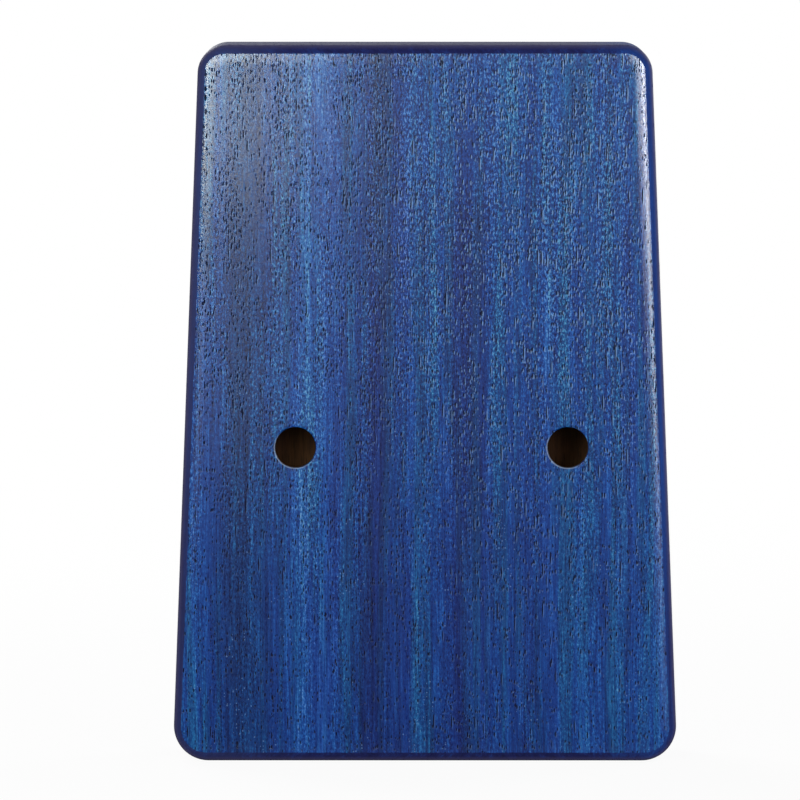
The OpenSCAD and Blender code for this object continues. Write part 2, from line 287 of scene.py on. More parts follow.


# %% Dye, with painted light towards the head
def dye(g, w):
    """Blue of the face: a tone with painted light that lightens it towards the head, tinted by drifts of
    violet and teal.
    """
    greener = g.step(w.u, -25.0, -38.0)
    calm = g.most(g.step(w.u, -2.0, 6.0), g.times(greener, 0.6))
    fade = g.minus(1.0, g.times(g.step(w.z, 110.0, 175.0, 0.0, 0.65), calm))
    # painted light: the tone rises a little towards the head, where the sheen falls
    tone_and_painted_top_light = g.step(w.z, 135.0, 182.0, 0.48, 0.55)
    tone = g.total(tone_and_painted_top_light, (0.45, w.bands), (0.60, w.streaks), (0.60, w.hairs))
    tone = g.plus(tone, g.times(fade, g.total(0.0, (0.62, w.ribbons))))
    figure = g.noise(g.scaled(w.grain, (0.24, 0.24, 0.010), (9.0, 3.0, 21.0)), 2.0)
    # painted light: the grain's contrast grows towards the head, standing in for the glitter of the sheen
    # there
    figure = g.times(g.step(figure, 0.36, 0.64, 0.9, 2.25), g.step(w.z, 20.0, 160.0, 0.6, 1.4))
    tone = g.plus(tone, g.times(figure, g.minus(w.fibre, 0.5)))
    blue = g.ramp(tone, [
        (0.00, (0.0008, 0.004, 0.045)), (0.30, (0.0012, 0.0145, 0.113)), (0.52, (0.0018, 0.032, 0.190)),
        (0.78, (0.007, 0.084, 0.335)), (1.00, (0.075, 0.205, 0.470)),
    ])
    violet = g.step(g.noise(g.scaled(w.grain, (0.11, 0.11, 0.008), (31.0, 7.0, 3.0)), 2.0), 0.50, 0.68)
    violet = g.most(g.times(violet, 0.6), g.step(w.ribbons, 0.42, 0.20, 0.0, 0.8))
    violet = g.times(violet, g.times(fade, g.minus(1.0, greener)))
    blue = g.mix(violet, blue, (1.8, 0.76, 0.92, 1.0), "MULTIPLY")
    teal = g.noise(g.scaled(w.grain, (0.34, 0.34, 0.010), (5.0, 17.0, 11.0)), 3.0, 0.65)
    teal = g.times(g.step(teal, 0.44, 0.64), 0.65)
    teal = g.most(teal, g.times(greener, g.step(w.ribbons, 0.48, 0.24, 0.0, 0.6)))
    return g.mix(teal, blue, (1.0, 1.38, 0.80, 1.0), "MULTIPLY")


# %% [markdown]
# A pore is an ellipse round a scattered point, long along the grain. There are specks, dashes and
# lines, crowded in some places and rare in others. One lip of each pore gets a painted highlight, so
# the same marks are drawn twice: pale and a little shifted as the painted highlight, and then dark.
# Small pale dots of the same kind are painted glints.

# %% Pores
SPECKS, DASHES, LINES = (1.9, 0.75, 0.10, 0.34), (1.45, 0.42, 0.13, 0.19), (0.85, 0.075, 0.09, 0.10)
# rates and sizes of the small painted glints
GLINT_MARKS = (1.3, 1.1, 0.12, 0.16)
LIP_ACROSS, LIP_ALONG = 0.28, 0.30


def pores(g, u, along, marks, chosen):
    """1 on the marks, given as (rate across, rate along, smallest size, spread of sizes).

    A mark is kept where its first random number plus chosen passes 1; the second one gives its size.
    """
    across_rate, along_rate, smallest, spread = marks
    near, first, second = g.cells(g.place(g.times(u, across_rate), g.times(along, along_rate), 0.0), "2D")
    kept = g.math("GREATER_THAN", g.plus(first, chosen), 1.0)
    size = g.add("Math", {0: second, 1: spread, 2: smallest}, operation="MULTIPLY_ADD")
    return g.step(g.minus(g.times(kept, size), near), 0.0, 0.07)


def pore_marks(g, w):
    """The dark pores, a painted highlight on one lip of each, and small painted glints."""
    crowd = g.noise(g.scaled(w.grain, (0.22, 0.22, 0.05), (2.0, 29.0, 13.0)), 4.0, 0.65)
    # the marks grow denser towards the head, which stands in for the sheen there that shows the pores more
    # clearly
    crowd = g.times(g.step(crowd, 0.38, 0.62, 0.13, 0.66), g.step(w.z, 20.0, 150.0, 0.55, 1.1))
    short_ones, long_ones = g.times(crowd, 0.8), g.times(crowd, g.step(w.u, -10.0, 30.0, 0.65, 1.0))

    def all_kinds(u, along, speck_share):
        specks = g.times(pores(g, u, along, SPECKS, short_ones), speck_share)
        return g.most(specks, pores(g, u, along, DASHES, short_ones), pores(g, u, along, LINES, long_ones))

    dark = all_kinds(w.u, w.along, 0.9)
    lip_highlights = all_kinds(g.minus(w.u, LIP_ACROSS), g.plus(w.along, LIP_ALONG), 0.5)
    # painted highlight: the pale lip marks are stronger towards the head and towards the right, where the
    # sheen falls
    lit = g.times(g.step(w.z, 20.0, 150.0, 0.3, 1.4), g.step(w.u, -25.0, 20.0, 0.26, 0.66))
    cluster = g.noise(g.scaled(w.grain, (0.15, 0.15, 0.06), (8.0, 1.0, 6.0)), 2.0)
    glints = pores(g, w.u, w.along, GLINT_MARKS, g.step(cluster, 0.56, 0.74, 0.0, 0.4))
    return dark, g.times(lip_highlights, lit), glints


# %% [markdown]
# The round of the edge is navy: partly a darker dye on the smoother round, and partly painted shade
# where it turns away from the lamps. Painted light makes it more blue on the right, a painted sheen
# makes it lighter on the left, and a painted reflection of the white surroundings lightens its outer
# part. `from_edge` is a value on the points of the panels: the inset plus 1, and 50 or more at a
# hole. The rails don't have it, so there it reads 0.

# %% Edge and whole finish
# the second mark is for the painted highlight along one side of a finger hole
HOLE_MARK, HOLE_HIGHLIGHT_MARK = 50.0, 10.0


def edge_dye_and_light(g, w, inset, dark, lighter):
    """Navy of the round and of the rails, which show their pores: partly painted shade, with painted light on
    the right, a painted sheen on the left and a painted reflection on the outer part of the round.
    """
    on_panel = g.math("GREATER_THAN", inset, 0.5)
    # painted light: the edge is more blue on the right, the side that faces the lamps
    lit_right_side = g.times(g.step(w.x, 35.0, 60.0, 0.0, 0.40), g.step(w.z, 20.0, 110.0, 0.5, 1.0))
    tone = g.plus(g.total(0.42 + lighter, (0.7, w.bands), (0.6, w.streaks), (0.4, w.fibre)), lit_right_side)
    navy = g.ramp(tone, [
        (0.15, (0.006, 0.007, 0.042)), (0.45, (0.011, 0.014, 0.082)), (0.9, (0.012, 0.050, 0.240)),
    ])
    # painted sheen: the round is lighter towards the top on the left
    left_sheen = g.times(g.step(w.x, -30.0, -55.0), g.step(w.z, 40.0, 140.0, 0.3, 0.65))
    navy = g.mix(g.times(left_sheen, on_panel), navy, (0.035, 0.046, 0.135, 1.0))
    # painted reflection: the outer part of the round is lighter, as the white surroundings would show on it
    # at a grazing angle
    rim_reflection = g.times(g.step(inset, 1.0 + EDGE_RADIUS * 0.65, 1.0 + EDGE_RADIUS * 0.15), on_panel)
    navy = g.mix(g.times(rim_reflection, 0.7), navy, (0.050, 0.045, 0.120, 1.0))
    on_rail = g.times(g.minus(1.0, on_panel), dark)
    return g.mix(g.times(on_rail, 0.6), navy, (0.002, 0.002, 0.010, 1.0))


def dyed_mahogany(name, along_x=False, polish=0.30, lighter=0.0):
    """Dye, pores with painted highlights and glints, and an edge with painted light, under a thin lacquer, of
    which there is none where polish is 0.
    """
    g = Graph(bpy.data.materials.new(name))
    w = wood_patterns(g, along_x, 0.4 if polish else 1.0)
    dark, lip_highlights, glints = pore_marks(g, w)
    # painted highlights on one lip of each pore, then painted glints, then the dark pores
    face = g.mix(lip_highlights, dye(g, w), (0.110, 0.210, 0.420, 1.0))
    face = g.mix(g.times(glints, 0.35), face, (0.150, 0.280, 0.540, 1.0))
    face = g.mix(g.times(dark, 0.95), face, (0.003, 0.003, 0.012, 1.0))
    inset = g.attribute("from_edge")
    # painted highlight: a pale line along one side of each finger hole
    hole_highlight = g.step(inset, HOLE_MARK + 0.1 * HOLE_HIGHLIGHT_MARK, HOLE_MARK + 0.9 * HOLE_HIGHLIGHT_MARK, 0.0, 0.5)
    face = g.mix(hole_highlight, face, (0.240, 0.290, 0.380, 1.0))
    rim = g.step(g.total(inset, (0.25, w.fibre)), EDGE_RADIUS + 1.06, EDGE_RADIUS + 0.94)
    colour = g.mix(rim, face, edge_dye_and_light(g, w, inset, dark, lighter))

    lacquer = g.noise(g.scaled(w.grain, (2.4, 2.4, 1.5), (4.0, 8.0, 15.0)), 2.0, 0.7)
    lacquer = g.times(g.step(lacquer, 0.38, 0.62, 0.8, 1.2), g.minus(1.0, g.most(dark, rim)))
    buffed = g.step(inset, EDGE_RADIUS + 5.0, EDGE_RADIUS + 1.5, polish, polish * 2.2)
    gloss = g.total(0.32, (0.25, w.fibre), (0.10, w.streaks))
    gloss = g.most(gloss, g.times(dark, 0.9), g.times(rim, 0.5))
    height = g.minus(g.total(0.5, (0.45, w.fibre), (0.3, w.streaks)), g.times(dark, 0.6))
    relief = g.bump(g.times(height, g.minus(1.0, g.times(rim, 0.85))), 0.00004, 0.7)
    return g.finish(
        Base_Color=colour, Roughness=gloss, Normal=relief, Specular_IOR_Level=0.10,
        Coat_Weight=g.times(lacquer, buffed) if polish else 0.0, Coat_Roughness=0.15, Coat_Normal=relief,
    )


blue_wood = dyed_mahogany("dyed_mahogany")
edge_wood = dyed_mahogany("dyed_edge", polish=0.0, lighter=0.14)
edge_wood_across = dyed_mahogany("dyed_edge_across", along_x=True, polish=0.0, lighter=0.08)
print("dyed woods", [m.name for m in (blue_wood, edge_wood, edge_wood_across)])

# %% [markdown]
# ## Bare wood
# Nobody dyes the inside of the box, so the walls of the holes and the chamber show raw mahogany. The
# bridge is a darker wood whose grain runs across.

# %% Raw wood and the bridge's wood
def plain_wood(name, dark, light, along_x=False, roughness=0.6):
    """Bands and fibre from a dark to a light colour, with darker pores."""
    g = Graph(bpy.data.materials.new(name))
    _, x, y, z = g.millimetres()
    grain = g.place(z, y, x) if along_x else g.place(x, y, z)
    bands = g.noise(g.scaled(grain, (0.35, 0.35, 0.012)), 3.0, 0.6)
    fibre = g.noise(g.scaled(grain, (2.6, 2.6, 0.25)), 3.0, 0.7)
    near, _, _ = g.cells(g.scaled(grain, (1.5, 1.5, 0.14)))
    dark_pores = g.step(near, 0.24, 0.12)
    tone = g.total(0.5, (1.2, bands), (0.9, fibre))
    colour = g.ramp(tone, [(0.15, dark), (0.85, light)])
    colour = g.mix(g.times(dark_pores, 0.6), colour, (*[c * 0.35 for c in dark], 1.0))
    height = g.minus(fibre, g.times(dark_pores, 0.8))
    return g.finish(
        Base_Color=colour, Roughness=g.total(roughness, (0.25, fibre)), Specular_IOR_Level=0.15,
        Normal=g.bump(height, 0.00006, 0.6),
    )


raw_wood = plain_wood("raw_mahogany", (0.038, 0.013, 0.003), (0.120, 0.047, 0.013))
bridge_wood = plain_wood("bridge_walnut", (0.030, 0.015, 0.009), (0.110, 0.058, 0.032), True, 0.42)
print("bare woods", [m.name for m in (raw_wood, bridge_wood)])

# %% [markdown]
# ## Steel
# The tines are spring steel with fine scratches from finishing, along their length. The rods and the
# bar are polished round stock, scratched round their girth. Roughness that changes across the
# scratches gives the streaky glint of real steel.

# %% Spring steel, polished steel and screw steel
def steel(name, colour, roughness, scratch, depth):
    """Metal whose tint, roughness and relief follow scratches: noise at the rates given by scratch."""
    g = Graph(bpy.data.materials.new(name))
    vector, *_ = g.millimetres()
    lines = g.noise(g.scaled(vector, scratch), 3.0, 0.65)
    cloud = g.noise(g.scaled(vector, (0.12, 0.12, 0.12)), 2.0)
    duller, brighter = [c * 0.80 for c in colour], [min(1.0, c * 1.12) for c in colour]
    tint = g.ramp(g.total(0.5, (0.9, lines), (0.8, cloud)), [(0.1, duller), (0.9, brighter)])
    return g.finish(
        Base_Color=tint, Metallic=1.0, Roughness=g.total(roughness, (0.35, lines), (0.15, cloud)),
        Normal=g.bump(lines, depth, 0.5),
    )


spring_steel = steel("spring_steel", (0.56, 0.57, 0.58), 0.30, (6.0, 6.0, 0.05), 0.00001)
polished_steel = steel("polished_steel", (0.66, 0.66, 0.66), 0.18, (3.0, 0.6, 0.6), 0.000006)
screw_steel = steel("screw_steel", (0.60, 0.60, 0.61), 0.24, (2.0, 2.0, 2.0), 0.000008)
print("steels", [m.name for m in (spring_steel, polished_steel, screw_steel)])

# %% [markdown]
# ## The two panels
# Back and soundboard are thin boards with the same rounded outline. A point that lies d inside the
# outline is E - d N, where E is a point on it and N the direction out of it there. Carrying one
# profile of (d, depth) pairs round E and N gives the whole edge: the side, the round that meets the
# face in a crisp arris, and the last few millimetres where the sander has let the face fall away
# towards the two long sides. The photograph shows that fall as a bright line along the arris. There
# the corners are tighter than outside, so E slides to the points of a tighter outline on its way in,
# and the round is slimmer along the long sides, so N is shorter there. The flat middle, holes and
# all, is filled by a triangulation.

# %% Outline and edge profile
BREAK = 0.12  # the hairline bevel that glued edges get from sandpaper
FALL, FALL_WIDTH = 0.32, 3.8  # how deep the face falls towards a long side, and over what width
FLAT_FROM = EDGE_RADIUS + FALL_WIDTH + 0.6
SLIM = 0.18  # how much narrower the round is along the long sides
ARRIS, ROUND_DEPTH = math.radians(27.0), 2.8  # slope of the round at the arris, and its depth
INNER_TAIL_CORNER, INNER_HEAD_CORNER = 8.6, 7.2


def outline(tail_radius, head_radius, corner_steps=20, run_steps=24):
    """Points E and directions N round the box: four arcs, centre + r N, with straight runs between."""
    lean, radius = SIDE_LEAN, np.array([tail_radius, head_radius, head_radius, tail_radius])
    tail_x = TAIL_WIDTH / 2 - tail_radius / math.tan((math.pi / 2 - lean) / 2)
    head_x = half_width(BODY_LENGTH) - head_radius / math.tan((math.pi / 2 + lean) / 2)
    head_y = BODY_LENGTH - head_radius
    centres = np.array([(tail_x, tail_radius), (head_x, head_y), (-head_x, head_y), (-tail_x, tail_radius)])
    turns = np.array([-math.pi / 2, lean, math.pi / 2, math.pi - lean, 1.5 * math.pi])
    arc = turns[:-1, None] + np.diff(turns)[:, None] * np.linspace(0, 1, corner_steps)
    on_arc = centres[:, None] + radius[:, None, None] * direction(arc)
    run_way = np.broadcast_to(direction(turns[1:])[:, None], (4, run_steps - 1, 2))
    start, stop = on_arc[:, -1:], np.roll(on_arc[:, :1], -1, axis=0)
    on_run = start + (stop - start) * np.linspace(0, 1, run_steps + 1)[None, 1:-1, None]
    points = np.concatenate([on_arc, on_run], axis=1)
    ways = np.concatenate([direction(arc), run_way], axis=1)
    return points.reshape(-1, 2), ways.reshape(-1, 2)


def edge_profile(thickness, fall):
    """(inset, depth) from the glued face, up the side, over the round and out to the flat.

    The round is a parabola from the side p to the arris r, with q where its end tangents meet:
    (1 - t)^2 p + 2 t (1 - t) q + t^2 r. The depth of the face is fall (1 - s)^2, with s from 0 to 1.
    """
    t = np.linspace(0, 1, 13)[:, None]
    s = np.linspace(0, 1, 9)[1:, None]
    q = fall + EDGE_RADIUS * math.tan(ARRIS)
    over = (1 - t) ** 2 * ROUND_DEPTH + 2 * t * (1 - t) * q + t**2 * fall
    side = np.array([thickness, thickness - BREAK])[:, None] + 0 * fall
    round_in, face_in = EDGE_RADIUS * t[:, 0] ** 2, EDGE_RADIUS + FALL_WIDTH * s[:, 0]
    inset = np.concatenate([[BREAK, 0.0], round_in, face_in, [FLAT_FROM]])
    return inset, np.concatenate([side, over, fall * (1 - s) ** 2, [0 * fall]])


E, N = outline(TAIL_CORNER, HEAD_CORNER)
TIGHT, _ = outline(INNER_TAIL_CORNER, INNER_HEAD_CORNER)
print("outline points", len(E))

# %% [markdown]
# A hole is the same idea turned round a centre: a small rounded edge at the face, a straight wall, and
# a broken edge inside. One side of a finger hole gets a painted highlight, and a mark on the points
# there tells the finish so. `fill_flat` then closes both faces between the outline and the holes.

# %% Panel builder
HOLE_STEPS = 72
HIGHLIGHT_FROM = math.radians(-45.0)  # the side of a finger hole that gets the painted highlight


def hole_profile(radius, chamfer, thickness):
    """(radius, depth) from a ring on the outer face, down the wall, to the inner face."""
    t = np.linspace(0, math.pi / 2, 10)
    rounded = radius + chamfer * (1 - np.sin(t))
    r = np.concatenate([[radius + chamfer + 0.5], rounded, [radius, radius + BREAK]])
    return r, np.concatenate([[0.0], chamfer * (1 - np.cos(t)), [thickness - BREAK, thickness]])


def edge_grid(thickness):
    """Plan, depth and from_edge of rows round the outline, from the flat of the face to the glue."""
    inset, depth = edge_profile(thickness, FALL * N[:, 0] ** 2)
    inward = np.clip(inset / EDGE_RADIUS, 0, 1)[:, None, None]
    slimmer = N * (1 - SLIM * N[:, :1] ** 2)
    plan = (1 - inward) * E + inward * TIGHT - inset[:, None, None] * slimmer
    from_edge = np.repeat(inset[:, None] + 1.0, len(E), axis=1)
    return plan[::-1], depth[::-1], from_edge[::-1]


def hole_grid(thickness, x, y, radius, chamfer, highlight_share):
    """The same for rows round a hole, where from_edge is the mark of a hole plus that of its painted
    highlight.
    """
    r, depth = hole_profile(radius, chamfer, thickness)
    turn = np.linspace(0, 2 * math.pi, HOLE_STEPS, endpoint=False)
    plan = np.array([x, y]) + r[:, None, None] * direction(turn)
    from_edge = np.full((len(r), HOLE_STEPS), HOLE_MARK)
    from_edge[2:-2] += HOLE_HIGHLIGHT_MARK * highlight_share * np.clip(np.cos(turn - HIGHLIGHT_FROM) + 0.2, 0, 1)
    return plan, np.repeat(depth[:, None], HOLE_STEPS, axis=1), from_edge


def fill_flat(loops, points):
    """Triangles between closed loops of indices; the first loop is outside, the others are holes."""
    order = np.concatenate(loops)
    starts = np.cumsum([0] + [len(loop) for loop in loops])
    rings = [list(range(a, b)) for a, b in zip(starts[:-1], starts[1:])]
    corners = [Vector(p) for p in points[order].tolist()]
    _, _, faces, origin, _, _ = delaunay_2d_cdt(corners, [], rings, 2, 1e-6)
    return [[int(order[origin[v][0]]) for v in face] for face in faces]


def panel(name, thickness, front, holes, finishes):
    """A board with a rounded edge and round holes given as (x, y, radius, chamfer, highlight share).

    The first finish is for the outside, the second for the walls of the holes and the inner face.
    """
    grids = [edge_grid(thickness)] + [hole_grid(thickness, *hole) for hole in holes]
    wall_rows = [0] + [2] * len(holes)
    faces, kind, outer, inner, first = [], [], [], [], 0
    for (plan, _, _), wall in zip(grids, wall_rows):
        rows, cols = plan.shape[:2]
        faces += grid_faces(rows, cols, first)
        kind += [0] * ((rows - 1 - wall) * cols) + [1] * (wall * cols)
        outer.append(first + np.arange(cols))
        inner.append(first + (rows - 1) * cols + np.arange(cols))
        first += rows * cols
    plan = np.concatenate([grid[0].reshape(-1, 2) for grid in grids])
    depth, from_edge = (np.concatenate([grid[k].ravel() for grid in grids]) for k in (1, 2))
    top, bottom = fill_flat(outer, plan), fill_flat(inner, plan)
    kind += [0] * len(top) + [1] * len(bottom)
    points = stand_up(plan[:, 0], plan[:, 1], BODY_DEPTH - depth if front else depth)
    return make_piece(name, points, faces + top + bottom, finishes, 15.0, {"from_edge": from_edge}, kind)


# %% Back panel and soundboard
FINGER_HOLE_RADIUS, FINGER_HOLE_CHAMFER = 5.25, 0.35
FINGER_HOLE_SPACING, FINGER_HOLE_OFFSET, FINGER_HOLE_HEIGHT = 70.2, 1.7, 81.3
SOUND_HOLE = (0.0, 50.0, 16.0, 0.8, 0.0)
wood_finishes = [blue_wood, raw_wood]
finger_x = [side * FINGER_HOLE_SPACING / 2 - FINGER_HOLE_OFFSET for side in (-1, 1)]
finger_holes = [(x, FINGER_HOLE_HEIGHT, FINGER_HOLE_RADIUS, FINGER_HOLE_CHAMFER, 1.0) for x in finger_x]
back = panel("back_of_the_box", BACK_THICKNESS, False, finger_holes, wood_finishes)
board = panel("front_board", BOARD_THICKNESS, True, [SOUND_HOLE], wood_finishes)
for piece, node in ((back, "back_panel"), (board, "soundboard")):
    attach(piece, "box")
    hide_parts(node)

# %% [markdown]
# ## The rim
# Four rails are glued between the panels: the two ends carry the round corners, and the sides run
# between them. Each is a flat outline drawn through the depth of the box, with a hairline bevel along
# the glued edges so that the joint reads as two boards.

# %% Rails
CORNER_LAND = 1.5  # how far an end rail runs on past its round corners
SIDE_RAIL, TAIL_RAIL, HEAD_RAIL = 9.0, TAIL_CORNER + CORNER_LAND, HEAD_CORNER + CORNER_LAND
BEYOND = 1.0  # any height past the end of the box, so that a cut takes in all of that end


def rail(name, plan, outward, finish):
    """A prism: the plan at four depths, drawn in along outward by the bevel at the first and last."""
    low, high = BACK_THICKNESS, BODY_DEPTH - BOARD_THICKNESS
    depth = np.array([low, low + BREAK, high - BREAK, high])
    drawn = np.array([BREAK, 0.0, 0.0, BREAK])
    loop = plan - drawn[:, None, None] * outward
    points = stand_up(loop[..., 0], loop[..., 1], depth[:, None])
    piece = make_piece(name, points, capped_faces(len(depth), len(plan)), finish)
    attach(piece, "box")
    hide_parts(name.replace("wood_", ""))


def end_plan(from_y, to_y):
    """The part of the outline between two heights, closed by a straight cut on the inside."""
    inside = (E[:, 1] > from_y) & (E[:, 1] < to_y)
    cut = from_y if from_y > 0 else to_y
    ends = np.array([(half_width(cut), cut), (-half_width(cut), cut)])
    lean = direction(np.array([SIDE_LEAN, math.pi - SIDE_LEAN]))
    plan, outward = np.concatenate([E[inside], ends]), np.concatenate([N[inside], lean])
    middle = np.array([0.0, (from_y + to_y) / 2])
    order = np.argsort(np.arctan2(*(plan - middle).T[::-1]))
    return plan[order], outward[order]


heights = np.array([TAIL_RAIL, BODY_LENGTH - HEAD_RAIL])
rail("wood_tail_rail", *end_plan(-BEYOND, heights[0]), edge_wood_across)
rail("wood_head_rail", *end_plan(heights[1], BODY_LENGTH + BEYOND), edge_wood_across)
outside = half_width(heights)
inside = outside - SIDE_RAIL / math.cos(SIDE_LEAN)
side_plan = np.column_stack([[inside[0], *outside, inside[1]], heights[[0, 0, 1, 1]]])
side_outward = np.array([(0, 0), (1, 0), (1, 0), (0, 0)])
for node, side in (("left_side_rail", -1), ("right_side_rail", 1)):
    rail("wood_" + node, side_plan * (side, 1), side_outward * (side, 1), edge_wood)
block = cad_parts["bridge_block"]
block.data.materials.clear()
block.data.materials.append(raw_wood)

# %% [markdown]
# ## The bridge
# The bridge is one hardwood bar, moulded to a profile: two ridges with a round groove in each for a
# saddle rod, a valley between them, and slopes down to the soundboard. A moulded bar is a profile
# carried along a line. `eased` rounds each corner of the profile with an arc, and the ends of the
# bar are drawn in along the profile's own normals, as sandpaper leaves them.

# %% Profile tools
def unit(v):
    return v / np.linalg.norm(v, axis=-1, keepdims=True)


def eased(corners, radii, steps=5):
    """A closed loop with an arc of the given radius at each corner, tangent to both of its edges."""
    p, r = np.asarray(corners, float), np.asarray(radii, float)[:, None]
    back_way, on_way = unit(np.roll(p, 1, axis=0) - p), unit(np.roll(p, -1, axis=0) - p)
    half = np.arccos(np.clip((back_way * on_way).sum(1), -1, 1))[:, None] / 2
    centre = p + unit(back_way + on_way) * r / np.sin(half)
    start, stop = p + back_way * r / np.tan(half) - centre, p + on_way * r / np.tan(half) - centre
    a0, a1 = np.arctan2(start[:, 1], start[:, 0]), np.arctan2(stop[:, 1], stop[:, 0])
    turn = (a1 - a0 + math.pi) % (2 * math.pi) - math.pi
    a = a0[:, None] + turn[:, None] * np.linspace(0, 1, steps)
    return (centre[:, None] + r[:, None] * direction(a)).reshape(-1, 2)


def loop_normals(loop):
    """Unit normals of a loop that runs anticlockwise, pointing out of it."""
    along = unit(np.roll(loop, -1, axis=0) - np.roll(loop, 1, axis=0))
    return np.stack([along[:, 1], -along[:, 0]], axis=-1)


# %% Bridge
BAR_Y, SADDLE_SPACING, SADDLE_RADIUS, SADDLE_TOP = BODY_LENGTH - 40.0, 7.0, 2.0, 9.0
ROD_Z = BODY_DEPTH + SADDLE_TOP - SADDLE_RADIUS
RIDGE_TOP, RIDGE_HALF, VALLEY_DEPTH = ROD_Z - BODY_DEPTH, 3.25, 2.5
GROOVE_RADIUS, GROOVE_STEPS = 2.05, 13
BRIDGE_HALF_WIDTH, BRIDGE_REACH, BRIDGE_TOE, BRIDGE_EASE = 55.0, 14.0, 3.5, 0.25

dip = np.radians(np.linspace(352, 188, GROOVE_STEPS))
groove = np.array([SADDLE_SPACING, RIDGE_TOP]) + GROOVE_RADIUS * direction(dip)
slope_side = [
    (BRIDGE_REACH, 0.0), (BRIDGE_REACH, BRIDGE_TOE),
    (SADDLE_SPACING + RIDGE_HALF, RIDGE_TOP), (SADDLE_SPACING + GROOVE_RADIUS, RIDGE_TOP),
]
valley_side = [
    (SADDLE_SPACING - GROOVE_RADIUS, RIDGE_TOP), (SADDLE_SPACING - RIDGE_HALF, RIDGE_TOP),
    (SADDLE_SPACING - RIDGE_HALF, RIDGE_TOP - VALLEY_DEPTH),
]
right = np.concatenate([slope_side, groove, valley_side])
ease = np.concatenate([[0.28, 0.9, 0.5, 0.28], np.full(GROOVE_STEPS, 0.02), [0.28, 0.4, 0.8]])
moulding = eased(np.concatenate([right, right[::-1] * (-1, 1)]), np.concatenate([ease, ease[::-1]]))

bend = np.linspace(0, math.pi / 2, 5)
end_x, end_drawn = BRIDGE_HALF_WIDTH - BRIDGE_EASE * (1 - np.sin(bend)), BRIDGE_EASE * (1 - np.cos(bend))
between = np.linspace(-50, 50, 11)
stations = np.concatenate([-end_x[::-1], between, end_x])
drawn = np.concatenate([end_drawn[::-1], 0 * between, end_drawn])
ring = moulding - drawn[:, None, None] * loop_normals(moulding)
points = stand_up(stations[:, None], BAR_Y + ring[..., 0], BODY_DEPTH + ring[..., 1])
bridge = make_piece("grooved_bridge", points, capped_faces(len(stations), len(moulding)), bridge_wood)
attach(bridge, "box")
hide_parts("bridge")

# %% [markdown]
# ## Rods and pressure bar
# Two round rods lie in the grooves, and a thicker bar presses the tines down between them. They are
# turned bars: a radius along x, carried round. The bar has four flat seats milled into its top, one
# for each screw head. There the height of the surface is cut off at the seat, and the grid's columns
# follow the edge of the seat so that its wall stays straight.

# %% Saddle rods
ROD_HALF = BRIDGE_HALF_WIDTH - 1.0
ROD_TURN = np.linspace(0, 2 * math.pi, 48, endpoint=False)


def rounded_ends(half, radius, ease=0.5, steps=6):
    """(x, radius) of a rod whose two ends are rounded over."""
    t = np.linspace(0, math.pi / 2, steps)
    end_x, end_r = half - ease * (1 - np.sin(t)), radius - ease * (1 - np.cos(t))
    straight = half - ease - 0.4
    x = np.concatenate([[-half], -end_x[::-1], [-straight, straight], end_x, [half]])
    r = np.concatenate([[0.0], end_r[::-1], [radius, radius], end_r, [0.0]])
    return x[:, None], r[:, None]


def saddle_rod(name, node, y):
    """A rod in its groove: y + r cos a and ROD_Z + r sin a round each place along x."""
    x, r = rounded_ends(ROD_HALF, SADDLE_RADIUS)
    points = stand_up(x, y + r * np.cos(ROD_TURN), ROD_Z + r * np.sin(ROD_TURN))
    piece = make_piece(name, points, grid_faces(len(x), len(ROD_TURN)), polished_steel)
    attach(piece, "box")
    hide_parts(node)


saddle_rod("front_saddle", "front_saddle_rod", BAR_Y - SADDLE_SPACING)
saddle_rod("rear_saddle", "rear_saddle_rod", BAR_Y + SADDLE_SPACING)

# %% Pressure bar
TINE_PITCH, TINE_THICKNESS, TINE_GAP, TINE_RISE = 6.3, 1.0, 0.36, math.radians(4.0)
TINE_FROM_ROD = SADDLE_RADIUS + TINE_GAP + TINE_THICKNESS / 2
CLAMP_RADIUS = SADDLE_SPACING / math.sin(TINE_RISE) - TINE_FROM_ROD
CLAMP_CENTRE_Z = ROD_Z + (CLAMP_RADIUS + TINE_FROM_ROD) * math.cos(TINE_RISE)
BAR_RADIUS, SEAT_DEPTH, SEAT_RADIUS, SEAT_LEAST = 2.5, 0.6, 2.16, 0.35
BAR_Z = CLAMP_CENTRE_Z - CLAMP_RADIUS + TINE_THICKNESS / 2 + TINE_GAP + BAR_RADIUS
SEAT_Z = BAR_Z + BAR_RADIUS - SEAT_DEPTH
SCREW_X = np.array([-6.5, -2.5, 2.5, 6.5])[:, None, None] * TINE_PITCH
AROUND = 96

turn = np.linspace(0, 2 * math.pi, AROUND, endpoint=False)
bar_y, bar_z = BAR_RADIUS * np.cos(turn), BAR_RADIUS * np.sin(turn)
x, r = (values[: len(values) // 2] for values in rounded_ends(ROD_HALF, BAR_RADIUS))
left = np.stack(np.broadcast_arrays(x, r * np.cos(turn), r * np.sin(turn)), axis=-1)
reach = np.sqrt(np.maximum(SEAT_RADIUS**2 - bar_y**2, SEAT_LEAST**2))
wall = np.array([-1.0, -1.0, -0.5, 0.0, 0.5, 1.0, 1.0])[:, None] * reach
beside = np.full((1, AROUND), SEAT_RADIUS + 0.25)
is_cut = np.array([0, 0, 1, 1, 1, 1, 1, 0, 0])[:, None] == 1
seat_x = SCREW_X + np.concatenate([-beside, wall, beside])
seat_z = np.where(is_cut, np.minimum(bar_z, BAR_RADIUS - SEAT_DEPTH), bar_z)
seats = np.stack(np.broadcast_arrays(seat_x, bar_y, seat_z), axis=-1).reshape(-1, AROUND, 3)
grid = np.concatenate([left, seats, left[::-1] * (-1, 1, 1)])
points = stand_up(grid[..., 0], BAR_Y + grid[..., 1], BAR_Z + grid[..., 2])
bar = make_piece("clamping_bar", points, grid_faces(len(grid), AROUND), polished_steel)
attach(bar, "box")
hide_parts("pressure_bar")
